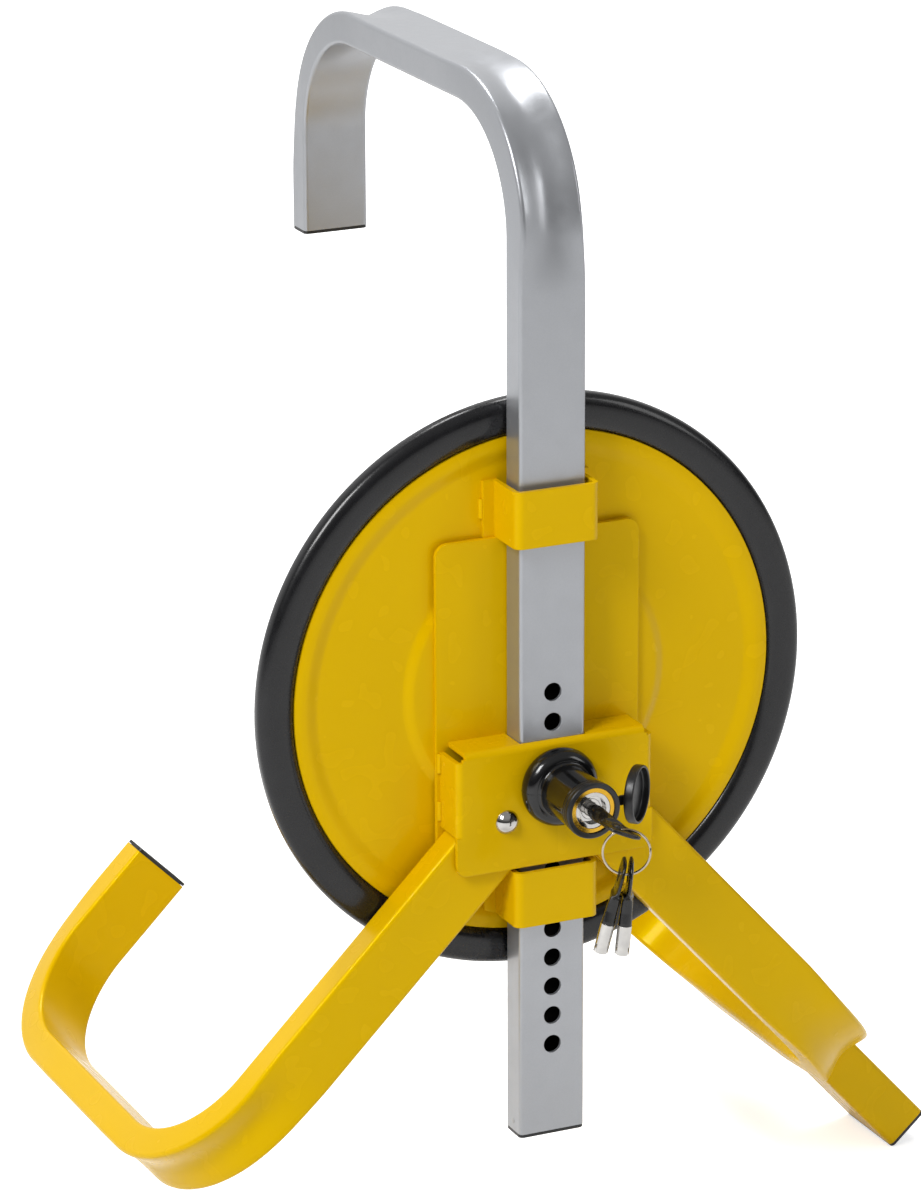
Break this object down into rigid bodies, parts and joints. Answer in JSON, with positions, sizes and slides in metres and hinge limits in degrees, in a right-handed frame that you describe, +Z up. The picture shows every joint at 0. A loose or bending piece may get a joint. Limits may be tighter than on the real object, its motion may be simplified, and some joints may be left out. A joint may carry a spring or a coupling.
{
  "type": "wheel clamp",
  "caption": "Wheel clamp with a ringed disc, a sliding hooked bar, two fixed hooked arms and a keyed push lock with its keys and dust cap.",
  "frame": {"origin": "centre of the rubber ring's wheel-side face", "axes": "+Y towards the wheel, -Y towards the user, +Z up along the sliding bar, +X to the user's right"},
  "size_m": [0.5475, 0.4408, 0.7298],
  "materials": {
    "yellow_paint": "glossy yellow powder coat",
    "silver_paint": "glossy silver-grey lacquer",
    "ring_rubber": "smooth black rubber with a soft shine",
    "cap_plastic": "black moulded plastic",
    "shroud_plastic": "glossy black moulded plastic",
    "cap_rubber": "black moulded rubber",
    "chrome_plate": "polished chrome",
    "sleeve_brass": "yellowish passivated metal",
    "plain_steel": "turned steel",
    "spring_steel": "spring wire",
    "ring_wire": "nickel-plated wire"
  },
  "bodies": {
    "clamp_body": {"wheel_disc": "yellow_paint", "rim_ring": "ring_rubber", "backing_plate": "yellow_paint", "upper_strap": "yellow_paint", "lower_strap": "yellow_paint", "lock_housing": "yellow_paint", "left_arm": "yellow_paint", "right_arm": "yellow_paint", "right_arm_spur": "yellow_paint", "left_arm_cap": "cap_plastic", "right_arm_cap": "cap_plastic", "spur_cap": "cap_plastic", "arm_rivets": "chrome_plate", "weld_beads": "yellow_paint", "lock_sleeve": "sleeve_brass", "lock_shroud": "shroud_plastic", "guide_pin": "plain_steel", "cap_tether": "cap_rubber"},
    "sliding_bar": {"lock_bar": "silver_paint", "hook_cap": "cap_plastic", "bar_foot_cap": "cap_plastic", "foot_cap_rivet": "plain_steel"},
    "push_cylinder": {"lock_cylinder": "chrome_plate", "lock_bolt": "plain_steel", "plunger_spring": "spring_steel"},
    "turning_plug": {"key_plug": "chrome_plate"},
    "inserted_key": {"key_shaft": "chrome_plate", "key_bow": "shroud_plastic"},
    "split_ring": {"key_ring": "ring_wire"},
    "spare_key_a": {"spare_key_a_shaft": "chrome_plate", "spare_key_a_bow": "shroud_plastic"},
    "spare_key_b": {"spare_key_b_shaft": "chrome_plate", "spare_key_b_bow": "shroud_plastic"},
    "cap_on_strap": {"dust_cap": "cap_rubber"}
  },
  "joints": [
    {"name": "bar_slide", "type": "slide", "parent": "clamp_body", "child": "sliding_bar", "axis": [0, 0, 1], "range_m": [-0.0558, 0.1674]},
    {"name": "lock_push", "type": "slide", "parent": "clamp_body", "child": "push_cylinder", "axis": [0, 1, 0], "range_m": [0, 0.012], "stiffness_N_per_m": 400, "springref_m": -0.012, "deforming": ["plunger_spring"]},
    {"name": "key_turn", "type": "hinge", "parent": "push_cylinder", "child": "turning_plug", "pos_m": [0, -0.0785, -0.0547], "axis": [0, 1, 0], "range_deg": [0, 90]},
    {"name": "key_pull", "type": "slide", "parent": "turning_plug", "child": "inserted_key", "axis": [0, -1, 0], "range_m": [0, 0.03]},
    {"name": "ring_swing", "type": "hinge", "parent": "inserted_key", "child": "split_ring", "pos_m": [0, -0.133, -0.0547], "axis": [0.8573, -0.3907, 0.3351], "range_deg": [-20, 20]},
    {"name": "spare_a_swing", "type": "hinge", "parent": "split_ring", "child": "spare_key_a", "pos_m": [0.00165, -0.13375, -0.08206], "axis": [0.8829, -0.4024, -0.2419], "range_deg": [-15, 15]},
    {"name": "spare_b_swing", "type": "hinge", "parent": "split_ring", "child": "spare_key_b", "pos_m": [0.00649, -0.13596, -0.08218], "axis": [0.9058, -0.4128, -0.0958], "range_deg": [-15, 15]},
    {"name": "dust_cap_fold", "type": "hinge", "parent": "clamp_body", "child": "cap_on_strap", "pos_m": [0.0204, -0.0871, -0.0547], "axis": [0, 0, 1], "range_deg": [0, 35]}
  ]
}
